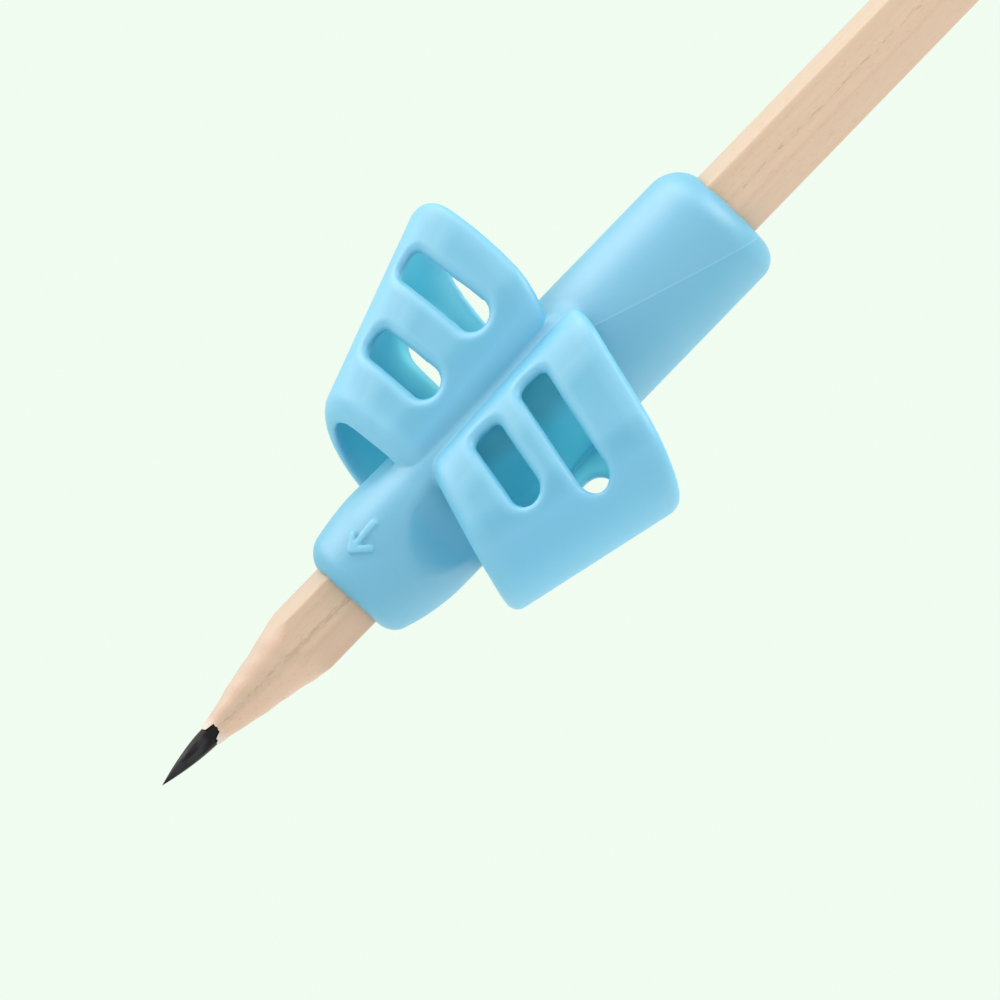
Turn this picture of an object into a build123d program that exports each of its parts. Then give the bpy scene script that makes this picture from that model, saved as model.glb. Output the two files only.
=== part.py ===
from build123d import *
import os
from math import atan2, cos, degrees, hypot, radians, sin, tan

os.makedirs("parts", exist_ok=True)

# A two-finger pencil grip, one soft moulding, on the plain wooden pencil it trains the hand for.
# X runs along the pencil from its point to its tail, Z comes up out of the ridge between the two
# finger pockets, and the origin is on the pencil's axis at the middle of the sleeve. Millimetres.

# The pencil: two grooved slats glued round a lead, planed to six flats and sharpened.
pencil_flats = 6.84
pencil_length = 175.0
pencil_turn = 21.0
point_reach = 53.6
point_half_angle = 10.6
point_blunt = 0.08
lead_diameter = 2.5

# The sleeve: its outside sits lower than the pencil's axis, its nose comes in round the pencil, and its
# underside is flattened where the middle finger carries it, so that it lies on a desk without rolling.
sleeve_length = 54.8
sleeve_radius = 7.25
sleeve_drop = 0.87
under_flat_depth = 0.92
nose_length = 13.5
nose_radius = 5.65
nose_round = 1.5
tail_round = 2.4
bore_clearance = 0.04

# The ridge: a round bar that rises out of the nose towards the tail and parts the two pockets.
ridge_radius = 2.5
ridge_front_x = -20.0
ridge_front_top = 6.1
ridge_rear_x = 6.0
ridge_rear_top = 7.9

# The pockets: tapered tubes with a long round section, given by the two round ends of that section at the
# small end and at the wide end. Each end is out from the middle plane and up from the pencil's axis.
pocket_radius = 7.0
pocket_wall = 1.7
small_x = -15.5
small_inner = (5.0, 1.2)
small_outer = (8.05, 1.2)
wide_x = 4.0
wide_inner = (5.95, 3.5)
wide_outer = (14.9, 3.5)

# Each rim lies in a plane: where it crosses the pencil's axis, how far it goes forward for each
# millimetre out from the middle plane, and how far it goes back for each millimetre up.
rim_round = 0.6
index_small_rim = (-15.9, 0.08, 0.30)
index_wide_rim = (3.8, 0.03, 0.46)
thumb_small_rim = (-12.9, 0.24, 0.12)
thumb_wide_rim = (7.0, 0.18, 0.30)

# Two slots through each pocket's upper wall: where the inner end is along the pencil, the sweep forward
# for each millimetre out, and how far out the two ends are. One wider slot goes through the lower wall.
slot_width = 3.8
slot_round = 0.6
index_front_slot = (-6.2, 0.06, 3.7, 14.7)
index_rear_slot = (2.1, 0.08, 3.9, 18.5)
thumb_front_slot = (-5.5, 0.17, 2.2, 13.5)
thumb_rear_slot = (1.3, 0.20, 2.3, 18.0)
under_slot_x = -3.2
under_slot_width = 5.4
under_slot_inner = 8.4
under_slot_outer = 17.0
under_slot_round = 1.8

# The seats that the finger pads press on, hollowed into the sleeve's sides below the pockets.
seat_depth = 1.4
seat_radius = 14.0
seat_turn = 34.0
seat_front = -20.0

# The raised arrow on the nose, which points to the pencil's point.
arrow_tip_x = -23.9
arrow_length = 4.2
arrow_head = 2.4
arrow_spread = 38.0
arrow_line = 0.6
arrow_relief = 0.3

# Worked out from the sizes above.
lead_radius = lead_diameter / 2
sleeve_front = -sleeve_length / 2
sleeve_rear = sleeve_length / 2
nose_rear = sleeve_front + nose_length
blunt_reach = point_blunt / tan(radians(point_half_angle))


def end_at(x, small_end, wide_end):
    """Place of one round end of the pocket's section at x, on the straight line between its two ends."""
    share = (x - small_x) / (wide_x - small_x)
    return tuple(a + share * (b - a) for a, b in zip(small_end, wide_end))


def pocket_section(x, radius):
    """Sketch of the pocket's long round section at x, with its round ends of this radius."""
    inner = end_at(x, small_inner, wide_inner)
    outer = end_at(x, small_outer, wide_outer)
    across, up = outer[0] - inner[0], outer[1] - inner[1]
    with BuildSketch(Plane.YZ.offset(x)) as section:
        with Locations(((inner[0] + outer[0]) / 2, (inner[1] + outer[1]) / 2)):
            SlotCenterToCenter(hypot(across, up), 2 * radius, rotation=degrees(atan2(up, across)))
    return section.sketch


def rim_plane(rim):
    """Plane of a pocket's rim from its crossing of the pencil's axis, its sweep and its lean."""
    crossing, sweep, lean = rim
    return Plane(origin=(crossing, 0, 0), z_dir=(1, sweep, -lean))


def sleeve_skin(grown):
    """The sleeve's outside without its bore, with every radius grown by this much."""
    with BuildPart() as skin:
        for share in (0, 0.35, 0.7, 1):
            bulge = share * (2 - share)
            with BuildSketch(Plane.YZ.offset(sleeve_front + share * nose_length)):
                with Locations((0, -sleeve_drop * bulge)):
                    Circle(nose_radius + (sleeve_radius - nose_radius) * bulge + grown)
        loft()
        with BuildSketch(Plane.YZ.offset(nose_rear)):
            with Locations((0, -sleeve_drop)):
                Circle(sleeve_radius + grown)
        extrude(amount=sleeve_rear - nose_rear)
    return skin.part


def finger_pocket(small_rim, wide_rim, front_slot, rear_slot):
    """One finger's pocket on the +Y side, open at both ends, with its rims and slots."""
    hollow = pocket_radius - pocket_wall
    ends = (small_x - 8, wide_x + 10)
    middle = Plane.XY.offset((small_inner[1] + wide_outer[1]) / 2)
    with BuildPart() as pocket:
        loft([pocket_section(x, pocket_radius) for x in ends])
        loft([pocket_section(x, hollow) for x in ends], mode=Mode.SUBTRACT)
        split(bisect_by=rim_plane(small_rim), keep=Keep.TOP)
        split(bisect_by=rim_plane(wide_rim), keep=Keep.BOTTOM)
        fillet(pocket.faces().sort_by(Axis.X)[0].edges(), rim_round)
        fillet(pocket.faces().sort_by(Axis.X)[-1].edges(), rim_round)
        with BuildSketch(middle):
            for slot_x, sweep, inner, outer in (front_slot, rear_slot):
                with Locations((slot_x - sweep * (outer - inner) / 2, (inner + outer) / 2)):
                    SlotOverall(outer - inner, slot_width, rotation=90 + degrees(atan2(sweep, 1)))
        extrude(amount=2 * pocket_radius, mode=Mode.SUBTRACT)
        fillet(pocket.edges(Select.LAST).filter_by(Axis.Z, reverse=True), slot_round)
        with BuildSketch(middle):
            with Locations((under_slot_x, (under_slot_inner + under_slot_outer) / 2)):
                RectangleRounded(under_slot_width, under_slot_outer - under_slot_inner, under_slot_round)
        extrude(amount=-2 * pocket_radius, mode=Mode.SUBTRACT)
        fillet(pocket.edges(Select.LAST).filter_by(Axis.Z, reverse=True), slot_round)
    return pocket.part


index_pocket = finger_pocket(index_small_rim, index_wide_rim, index_front_slot, index_rear_slot)
thumb_pocket = finger_pocket(thumb_small_rim, thumb_wide_rim, thumb_front_slot, thumb_rear_slot)

# The sleeve with its rounded ends, its flat underside, the ridge and the two finger seats.
with BuildPart() as sleeve:
    add(sleeve_skin(0))
    fillet(sleeve.faces().sort_by(Axis.X)[0].edges(), nose_round)
    fillet(sleeve.faces().sort_by(Axis.X)[-1].edges(), tail_round)
    split(bisect_by=Plane.XY.offset(under_flat_depth - sleeve_radius - sleeve_drop), keep=Keep.TOP)
    ridge_front = Vector(ridge_front_x, 0, ridge_front_top - ridge_radius)
    ridge_rear = Vector(ridge_rear_x, 0, ridge_rear_top - ridge_radius)
    with Locations(Plane(origin=ridge_front, z_dir=ridge_rear - ridge_front)):
        Cylinder(ridge_radius, (ridge_rear - ridge_front).length, align=(Align.CENTER, Align.CENTER, Align.MIN))
    with Locations(ridge_front, ridge_rear):
        Sphere(ridge_radius)
    seat_out = sleeve_radius + seat_radius - seat_depth
    seat_x = seat_front + (seat_radius**2 - (seat_radius - seat_depth) ** 2) ** 0.5
    for side in (1, -1):
        seat_y = side * seat_out * cos(radians(seat_turn))
        seat_z = seat_out * sin(radians(seat_turn)) - sleeve_drop
        with Locations((seat_x, seat_y, seat_z)):
            Sphere(seat_radius, mode=Mode.SUBTRACT)
        with Locations(Plane(origin=(seat_x, seat_y, seat_z), z_dir=(1, 0, 0))):
            Cylinder(
                seat_radius,
                wide_x - seat_x,
                align=(Align.CENTER, Align.CENTER, Align.MIN),
                mode=Mode.SUBTRACT,
            )

# The arrow's three lines, cut from a skin that stands a little above the nose.
with BuildPart() as arrow:
    with BuildSketch(Plane.XY):
        with Locations((arrow_tip_x + arrow_length / 2, 0)):
            SlotOverall(arrow_length, arrow_line)
        for side in (1, -1):
            barb_x = arrow_tip_x + (arrow_head - arrow_line) / 2 * cos(radians(arrow_spread))
            barb_y = side * (arrow_head - arrow_line) / 2 * sin(radians(arrow_spread))
            with Locations((barb_x, barb_y)):
                SlotOverall(arrow_head, arrow_line, rotation=side * arrow_spread)
    extrude(amount=sleeve_radius)
    add(sleeve_skin(arrow_relief), mode=Mode.INTERSECT)

# The whole moulding, with the bore drawn as it is stretched over the pencil's six flats.
with BuildPart() as grip:
    add(index_pocket)
    add(mirror(thumb_pocket, about=Plane.XZ))
    add(sleeve.part)
    add(arrow.part)
    with BuildSketch(Plane.YZ.offset(sleeve_front)):
        RegularPolygon(pencil_flats / 2 + bore_clearance, 6, major_radius=False, rotation=pencil_turn)
    extrude(amount=sleeve_length, mode=Mode.SUBTRACT)

# The sharpener's cone, and the half of the pencil above the glued seam.
with BuildPart() as sharpened:
    with BuildSketch(Plane.XZ):
        with BuildLine():
            Polyline(
                (-point_reach + blunt_reach, 0),
                (-point_reach + blunt_reach, point_blunt),
                (-point_reach + pencil_length, pencil_length * tan(radians(point_half_angle))),
                (-point_reach + pencil_length, 0),
                close=True,
            )
        make_face()
    revolve(axis=Axis.X)

with BuildPart() as lead:
    with BuildSketch(Plane.YZ.offset(-point_reach)):
        Circle(lead_radius)
    extrude(amount=pencil_length)
    add(sharpened.part, mode=Mode.INTERSECT)

with BuildPart() as barrel:
    with BuildSketch(Plane.YZ.offset(-point_reach)):
        RegularPolygon(pencil_flats / 2, 6, major_radius=False, rotation=pencil_turn)
        Circle(lead_radius, mode=Mode.SUBTRACT)
    extrude(amount=pencil_length)
    add(sharpened.part, mode=Mode.INTERSECT)

seam = Plane(origin=(0, 0, 0), z_dir=(0, -sin(radians(pencil_turn)), cos(radians(pencil_turn))))

with BuildPart() as slat_upper:
    add(barrel.part)
    split(bisect_by=seam, keep=Keep.TOP)

with BuildPart() as slat_lower:
    add(barrel.part)
    split(bisect_by=seam, keep=Keep.BOTTOM)

grip.part.label = "grip"
slat_upper.part.label = "slat_upper"
slat_lower.part.label = "slat_lower"
lead.part.label = "lead"

export_step(grip.part, "parts/grip.step")
export_step(slat_upper.part, "parts/slat_upper.step")
export_step(slat_lower.part, "parts/slat_lower.step")
export_step(lead.part, "parts/lead.step")
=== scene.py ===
# %% [markdown]
# A soft grip with two finger pockets sits on a plain wooden pencil. The packed solids give every size and
# place, and this lesson gives them their looks: a moulded silicone skin, planed and sharpened wood, and a
# graphite point. Shapes are worked out in millimetres as whole arrays, and turned into metres at the end.

import bpy
import numpy as np
from mathutils import Matrix, Vector


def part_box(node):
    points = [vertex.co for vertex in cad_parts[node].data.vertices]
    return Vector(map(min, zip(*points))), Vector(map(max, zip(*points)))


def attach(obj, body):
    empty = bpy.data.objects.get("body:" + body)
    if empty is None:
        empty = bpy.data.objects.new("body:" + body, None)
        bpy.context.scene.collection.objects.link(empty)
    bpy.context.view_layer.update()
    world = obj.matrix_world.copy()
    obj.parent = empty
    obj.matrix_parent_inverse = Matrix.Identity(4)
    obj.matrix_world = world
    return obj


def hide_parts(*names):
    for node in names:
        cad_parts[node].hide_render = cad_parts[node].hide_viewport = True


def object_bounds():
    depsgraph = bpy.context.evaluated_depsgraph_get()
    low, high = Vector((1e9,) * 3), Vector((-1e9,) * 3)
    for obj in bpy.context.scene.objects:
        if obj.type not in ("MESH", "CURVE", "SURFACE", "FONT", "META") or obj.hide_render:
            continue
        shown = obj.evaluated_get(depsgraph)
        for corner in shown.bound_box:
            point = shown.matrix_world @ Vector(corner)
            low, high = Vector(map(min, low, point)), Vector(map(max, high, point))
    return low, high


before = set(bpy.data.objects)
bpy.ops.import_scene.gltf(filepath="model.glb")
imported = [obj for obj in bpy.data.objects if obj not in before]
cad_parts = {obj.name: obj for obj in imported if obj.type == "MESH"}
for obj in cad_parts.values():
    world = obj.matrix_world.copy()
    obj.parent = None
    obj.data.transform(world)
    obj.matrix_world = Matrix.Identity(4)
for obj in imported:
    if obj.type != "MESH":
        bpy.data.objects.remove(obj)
cad_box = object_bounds()

MM = 0.001


def box_mm(node):
    """Lowest and highest corner of a packed node, in millimetres."""
    low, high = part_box(node)
    return np.array(low) / MM, np.array(high) / MM


grip_low, grip_high = box_mm("grip")
print("grip from", grip_low.round(2), "to", grip_high.round(2))

# %% [markdown]
# Every piece is one mesh made from two arrays: its points and its four-sided faces. They could be added one
# vertex at a time, but Blender takes whole arrays straight through foreach_set, which is far quicker.

# %% From arrays to a piece


def add_piece(name, points, quads, body, nodes, sharp_above=None):
    """Make a smooth piece from points in millimetres and rows of four point numbers, and let it stand for
    packed nodes. Edges that turn by more than sharp_above, in degrees, stay sharp."""
    mesh = bpy.data.meshes.new(name)
    mesh.vertices.add(len(points))
    mesh.vertices.foreach_set("co", (points * MM).astype(np.float32).ravel())
    mesh.loops.add(quads.size)
    mesh.loops.foreach_set("vertex_index", quads.astype(np.int32).ravel())
    mesh.polygons.add(len(quads))
    mesh.polygons.foreach_set("loop_start", np.arange(0, quads.size, 4, dtype=np.int32))
    mesh.update(calc_edges=True)
    mesh.validate()
    mesh.shade_smooth()
    if sharp_above:
        mesh.set_sharp_from_angle(angle=np.radians(sharp_above))
    piece = bpy.data.objects.new(name, mesh)
    bpy.context.scene.collection.objects.link(piece)
    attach(piece, body)
    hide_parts(*nodes)
    print(name, "has", 2 * len(quads), "triangles")
    return piece


# %% [markdown]
# Silicone is cast in one pour, so every wall of the grip flows into the next with a soft fillet. Cutting and
# filleting many tubes by hand would leave seams. Instead the whole moulding is one field: a function of
# space that is negative inside the rubber, zero on its skin and positive outside, about a distance in
# millimetres. Two fields join, or cut each other, with a rounding of a chosen radius.

# %% Joining and cutting fields


def round_join(first, second, radius):
    """Both shapes together: the smaller field, less a quarter-round fillet in the corner where they meet."""
    fillet = np.hypot(np.maximum(radius - first, 0), np.maximum(radius - second, 0))
    return np.maximum(radius, np.minimum(first, second)) - fillet


def round_common(first, second, radius):
    """What two shapes share: the larger field, with the edge where they meet rounded off."""
    edge = np.hypot(np.maximum(radius + first, 0), np.maximum(radius + second, 0))
    return np.minimum(-radius, np.maximum(first, second)) + edge


def round_cut(kept, removed, radius):
    """The kept shape without the removed one, with the cut's edge rounded."""
    return round_common(kept, -removed, radius)


def rod(x, y, z, start, end, radius):
    """Distance from the straight line between two points, less a radius: a rod with round ends."""
    start, end = np.array(start), np.array(end)
    run = end - start
    along = ((x - start[0]) * run[0] + (y - start[1]) * run[1] + (z - start[2]) * run[2]) / (run @ run)
    along = np.clip(along, 0, 1)
    aside = [axis - start[i] - along * run[i] for i, axis in enumerate((x, y, z))]
    return np.sqrt(aside[0] ** 2 + aside[1] ** 2 + aside[2] ** 2) - radius


print("a 1 mm fillet fills a square corner by", -round_join(0.0, 0.0, 1.0).round(3), "mm")

# %% [markdown]
# The sleeve is a tube that sits a little lower than the pencil's axis. Its nose comes in round the pencil on
# a curve, its underside is flat, a ridge rises out of its back, and two shallow seats take the finger pads.
# A turned profile could give the tube alone. As fields, the ridge and the seats flow into it.

# %% The sleeve, its ridge and its seats
SLEEVE_FRONT, SLEEVE_REAR = grip_low[0], grip_high[0]
SLEEVE_UNDER = grip_low[2]
SLEEVE_RADIUS = 7.25
SLEEVE_DROP = 0.87
DROP_LENGTH = 9.0
NOSE_LENGTH = 9.5
NOSE_RADIUS = 5.6
NOSE_SLANT = 0.055
NOSE_ROUND, NOSE_ROUND_SLOPE = 1.9, 0.11
TAIL_ROUND, TAIL_ROUND_SLOPE = 3.1, 0.1
UNDER_ROUND = 1.2
RIDGE_FRONT, RIDGE_REAR = (-20.0, 0.0, 3.6), (6.0, 0.0, 5.4)
RIDGE_RADIUS = 2.5
RIDGE_FILLET = 1.6
# A seat is its direction from the side towards the ridge, its depth, its front end and slope there, and its
# rear end and slope there.
INDEX_SEAT = (42.0, 0.55, -20.1, 0.22, 0.0, 0.10)
THUMB_SEAT = (40.0, 1.38, -20.4, 0.34, -1.0, 0.18)
SEAT_BLEND = 0.2
SEAT_RADIUS = 30.0
SEAT_ROUND = 0.3


def rise(x, length):
    """A parabola from 0 at the sleeve's front to 1 after a length, and 1 from there on."""
    share = np.clip((x - SLEEVE_FRONT) / length, 0, 1)
    return share * (2 - share)


def sleeve_size(x):
    """The sleeve's radius and how far its middle lies below the pencil's axis, along the pencil."""
    radius = NOSE_RADIUS + (SLEEVE_RADIUS - NOSE_RADIUS) * rise(x, NOSE_LENGTH)
    return radius, SLEEVE_DROP * rise(x, DROP_LENGTH)


def end_round(y, middle, slope):
    """An end's rounding, which grows evenly from the thumb's side to the index finger's."""
    return middle + slope * np.clip(y, -SLEEVE_RADIUS, SLEEVE_RADIUS)


def seat_field(x, out, z, seat):
    """Distance from a thick bar laid along the sleeve, so thick that it leaves nearly a flat. It sinks in
    from its front end to its depth and comes out again at its rear end: a soft minimum of the three."""
    turn, depth, front, front_slope, rear, rear_slope = seat
    radius, drop = sleeve_size(x)
    ramps = np.logaddexp(front_slope * (front - x) / SEAT_BLEND, rear_slope * (x - rear) / SEAT_BLEND)
    sunk = -SEAT_BLEND * np.logaddexp(ramps, -depth / SEAT_BLEND)
    middle = radius + SEAT_RADIUS - sunk
    across = out - middle * np.cos(np.radians(turn))
    return np.hypot(across, z + drop - middle * np.sin(np.radians(turn))) - SEAT_RADIUS


def sleeve_field(x, y, z):
    """The round skin closed by a slanted nose, a tail and a flat underside, with the ridge added and the two
    seats taken off."""
    radius, drop = sleeve_size(x)
    nose_end = SLEEVE_FRONT + NOSE_SLANT * (NOSE_RADIUS - y) - x
    nose_round = end_round(y, NOSE_ROUND, NOSE_ROUND_SLOPE)
    tail_round = end_round(y, TAIL_ROUND, TAIL_ROUND_SLOPE)
    field = round_common(np.hypot(y, z + drop) - radius, nose_end, nose_round)
    field = round_common(field, x - SLEEVE_REAR, tail_round)
    field = round_common(field, SLEEVE_UNDER - z, UNDER_ROUND)
    field = round_join(field, rod(x, y, z, RIDGE_FRONT, RIDGE_REAR, RIDGE_RADIUS), RIDGE_FILLET)
    field = round_cut(field, seat_field(x, y, z, INDEX_SEAT), SEAT_ROUND)
    return round_cut(field, seat_field(x, -y, z, THUMB_SEAT), SEAT_ROUND)


for end_name, end_x in (("nose", SLEEVE_FRONT), ("tail", SLEEVE_REAR)):
    print("sleeve radius and drop at the", end_name, np.round(sleeve_size(end_x), 2), "mm")

# %% [markdown]
# Each finger goes into a tapered pocket with a long round section, open at both ends. The index finger's
# pocket is on the +Y side and the thumb's on the -Y side. Their rims lean and sweep differently, so both are
# written out. Two slots in the upper wall and a wider one below let the rubber bend and the skin breathe.
# Rims and slots are distances of their own, because later steps ask how near they are.

# %% The pockets' rims and slots
SMALL_X, WIDE_X = -15.5, 4.0
BOW_MIDDLE, BOW_HALF = 11.0, 10.0
FLARE_MIDDLE, FLARE_FROM, FLARE_TO = 12.5, 2.0, -1.0
SLOT_RADIUS = 1.65
UNDER_SLOT_X, UNDER_SLOT_OUT = -3.05, 12.9
UNDER_SLOT_HALF = (2.55, 4.1)
UNDER_SLOT_CORNER = 2.2
# A rim is where it crosses the pencil's axis, its sweep forward, its lean back, its bow, which is how far
# both its ends come forward, and the flare of its lower half. A slot is its inner end along the pencil, its
# sweep, how far out its ends are, and the corner radius at each of them.
INDEX_RIMS = ((-16.18, 0.08, 0.35, 0.0, 0.0), (4.05, 0.03, 0.46, 0.8, 0.17))
INDEX_SLOTS = ((-6.27, 0.06, 4.0, 13.8, SLOT_RADIUS, 1.3), (1.93, 0.08, 4.8, 16.9, SLOT_RADIUS, 1.3))
THUMB_RIMS = ((-12.77, 0.27, 0.12, 0.0, 0.0), (7.42, 0.23, 0.30, 0.0, 0.0))
THUMB_SLOTS = ((-5.75, 0.17, 3.2, 13.0, 1.1, SLOT_RADIUS), (1.1, 0.20, 3.3, 17.4, 1.1, SLOT_RADIUS))


def along_taper(x, ends):
    """A size that goes evenly from the pocket's small end to its wide end, and on beyond both."""
    return ends[0] + (x - SMALL_X) / (WIDE_X - SMALL_X) * (ends[1] - ends[0])


def behind_rim(x, out, z, rim):
    """Distance behind a rim, which sweeps forward going out, leans back going up, and may be bowed or have a
    lower half that sweeps back."""
    crossing, sweep, lean, bow, flare = rim
    bowed = bow * ((out - BOW_MIDDLE) / BOW_HALF) ** 2
    low = np.clip((z - FLARE_FROM) / (FLARE_TO - FLARE_FROM), 0, 1)
    flared = flare * (out - FLARE_MIDDLE) * low**2 * (3 - 2 * low)
    return (x - crossing + sweep * out - lean * z + bowed - flared) / np.sqrt(1 + sweep**2 + lean**2)


def slot_field(x, out, slot):
    """Distance from a long hole, seen from above: round ends, or squarer ones with smaller corners."""
    inner_x, sweep, inner, outer, inner_corner, outer_corner = slot
    length = outer - inner
    mid_x, mid_out = inner_x - sweep * length / 2, (inner + outer) / 2
    stretch = np.hypot(1, sweep)
    along = ((out - mid_out) - sweep * (x - mid_x)) / stretch
    across = ((x - mid_x) + sweep * (out - mid_out)) / stretch
    corner = np.where(along < 0, inner_corner, outer_corner)
    past_end = np.maximum(np.abs(along) - length / 2 + corner, 0)
    past_side = np.maximum(np.abs(across) - SLOT_RADIUS + corner, 0)
    return np.hypot(past_end, past_side) - corner


def under_slot_field(x, out):
    """Distance from a rectangle with round corners, seen from above."""
    past_x = np.abs(x - UNDER_SLOT_X) - UNDER_SLOT_HALF[0] + UNDER_SLOT_CORNER
    past_out = np.abs(out - UNDER_SLOT_OUT) - UNDER_SLOT_HALF[1] + UNDER_SLOT_CORNER
    corner = np.hypot(np.maximum(past_x, 0), np.maximum(past_out, 0))
    return corner + np.minimum(np.maximum(past_x, past_out), 0) - UNDER_SLOT_CORNER


print("slots are", 2 * SLOT_RADIUS, "mm wide above and", 2 * UNDER_SLOT_HALF[0], "mm below")

# %% [markdown]
# A pocket could be a bent sheet with thickness. Its wall thins towards the wide end and below, so it is
# simpler as a difference: the outside, less the same shape drawn in by the wall, less the slots.

# %% The pockets' walls
POCKET_RADIUS = 7.0
POCKET_WALL = (2.15, 1.65)
THIN_UNDER = 0.5
INNER_END = (5.0, 5.95)
OUTER_END = (8.37, 15.02)
HEIGHT = (1.2, 3.5)
MID_HEIGHT = 2.35
RIM_OUTER_ROUND, RIM_INNER_ROUND = 1.4, 0.4
SLOT_ROUND, UNDER_SLOT_ROUND = 1.1, 0.8
RIDGE_END_ROUND, RIDGE_END_LENGTH = 1.4, 6.0


def pocket_skin(x, out, z):
    """Distance from the pocket's outside: a long round section that grows towards the wide end."""
    inner, outer = along_taper(x, INNER_END), along_taper(x, OUTER_END)
    beyond = np.maximum(np.maximum(inner - out, out - outer), 0)
    return np.hypot(beyond, z - along_taper(x, HEIGHT)) - POCKET_RADIUS


def pocket_field(x, out, z, rims, slots):
    """The outside cut off at both rims with a broad round, hollowed out, with less wall below than above, and
    pierced by its slots, whose edges are rounder at the ridge."""
    skin = pocket_skin(x, out, z)
    body = round_common(skin, -behind_rim(x, out, z, rims[0]), RIM_OUTER_ROUND)
    body = round_common(body, behind_rim(x, out, z, rims[1]), RIM_OUTER_ROUND)
    hollow = np.minimum(skin, pocket_skin(x, out, z + THIN_UNDER)) + along_taper(x, POCKET_WALL)
    wall = round_cut(body, hollow, RIM_INNER_ROUND)
    for slot in slots:
        opening = np.maximum(slot_field(x, out, slot), MID_HEIGHT - z)
        near_ridge = np.clip(1 - (out - slot[2]) / RIDGE_END_LENGTH, 0, 1)
        wall = round_cut(wall, opening, SLOT_ROUND + (RIDGE_END_ROUND - SLOT_ROUND) * near_ridge)
    under = np.maximum(under_slot_field(x, out), z - MID_HEIGHT)
    return round_cut(wall, under, UNDER_SLOT_ROUND)


pocket_width = np.subtract(OUTER_END, INNER_END) + 2 * POCKET_RADIUS
print("pockets are", pocket_width.round(2), "mm wide at their small and wide ends")

# %% [markdown]
# A raised arrow on the nose points to the pencil's point. It is part of the moulding, so it joins the field
# too, in place of a piece laid on top. The bore fits the pencil's six flats, with a hair of room that shows
# as a thin dark line where the wood goes in.

# %% The arrow, the bore and the whole moulding
ARROW_TIP = (-23.42, -0.5)
ARROW_ENDS = ((-19.95, -0.52), (-22.2, 0.54), (-21.98, -1.93))
ARROW_LINE = 0.34
ARROW_RELIEF = 0.4
ARROW_FILLET = 0.12
PENCIL_TURN = np.radians(21.0)
WOOD_HALF = 3.537
BORE_ROOM = 0.08
BORE_ROUND = 0.4
POCKET_FILLET = 0.12


def arrow_field(x, y, z, skin):
    """Three round lines seen from above, cut off a little above the sleeve's skin."""
    lines = [rod(x, y, 0 * z, (*ARROW_TIP, 0), (*end, 0), ARROW_LINE) for end in ARROW_ENDS]
    field = np.minimum(np.minimum(lines[0], lines[1]), lines[2])
    return np.maximum(round_common(field, skin - ARROW_RELIEF, ARROW_FILLET), -z)


def bore_field(y, z):
    """Distance from a six-sided hole: the furthest of its three pairs of flats."""
    turns = PENCIL_TURN + np.radians((30, 90, 150))
    flats = [np.abs(y * np.cos(turn) + z * np.sin(turn)) for turn in turns]
    return np.maximum(np.maximum(flats[0], flats[1]), flats[2]) - WOOD_HALF - BORE_ROOM


def grip_field(x, y, z):
    """The whole moulding: sleeve, arrow and two pockets joined, then bored for the pencil."""
    sleeve = sleeve_field(x, y, z)
    index = pocket_field(x, y, z, INDEX_RIMS, INDEX_SLOTS)
    thumb = pocket_field(x, -y, z, THUMB_RIMS, THUMB_SLOTS)
    field = round_join(sleeve, arrow_field(x, y, z, sleeve), ARROW_FILLET)
    field = round_join(field, round_join(index, thumb, POCKET_FILLET), POCKET_FILLET)
    return round_cut(field, bore_field(y, z), BORE_ROUND)


print("the bore leaves", grip_field(0.0, 0.0, 0.0).round(3), "mm free round the pencil's axis")

# %% [markdown]
# To show a field it is sampled on a grid of points. Every grid cell that the skin passes through gets one
# vertex, at the mean of the places where the skin crosses the cell's edges, and every crossed edge gets a
# face between the four cells round it. An even grid would be too coarse for thin lines or too slow, so the
# step is finer at the arrow, along the ridge and in the creases, and coarser along the plain tail.

# %% The skin of a field
GRID_STEP = 0.36
GRID_MARGIN = 0.8
LINE_SAMPLES = 8000
# Stretches with a step of their own along X, Y and Z: fine at the arrow and the ridge and where the pockets'
# floors meet the sleeve, and coarse along the plain tail.
GRID_ZONES = (
    ((-24.3, -19.2, 0.17), (10.0, 23.5, 0.8)),
    ((-7.6, -6.6, 0.2), (-2.4, 1.5, 0.19), (6.6, 7.6, 0.2)),
    ((-3.2, -2.2, 0.2), (5.4, 8.2, 0.22)),
)


def grid_line(low, high, zones):
    """Places along one axis, a step apart, with another step inside each zone."""
    dense = np.linspace(low - GRID_MARGIN, high + GRID_MARGIN, LINE_SAMPLES)
    step = np.full_like(dense, GRID_STEP)
    for start, end, zone_step in zones:
        step[(dense > start) & (dense < end)] = zone_step
    count = np.concatenate([[0], np.cumsum(np.diff(dense) / step[1:])])
    return np.interp(np.arange(int(count[-1]) + 1), count, dense)


def beside(values, axis):
    """Sum over the four edges of each cell that run along one axis."""
    for other in (a for a in range(3) if a != axis):
        first = np.take(values, range(values.shape[other] - 1), other)
        second = np.take(values, range(1, values.shape[other]), other)
        values = first + second
    return values


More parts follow.
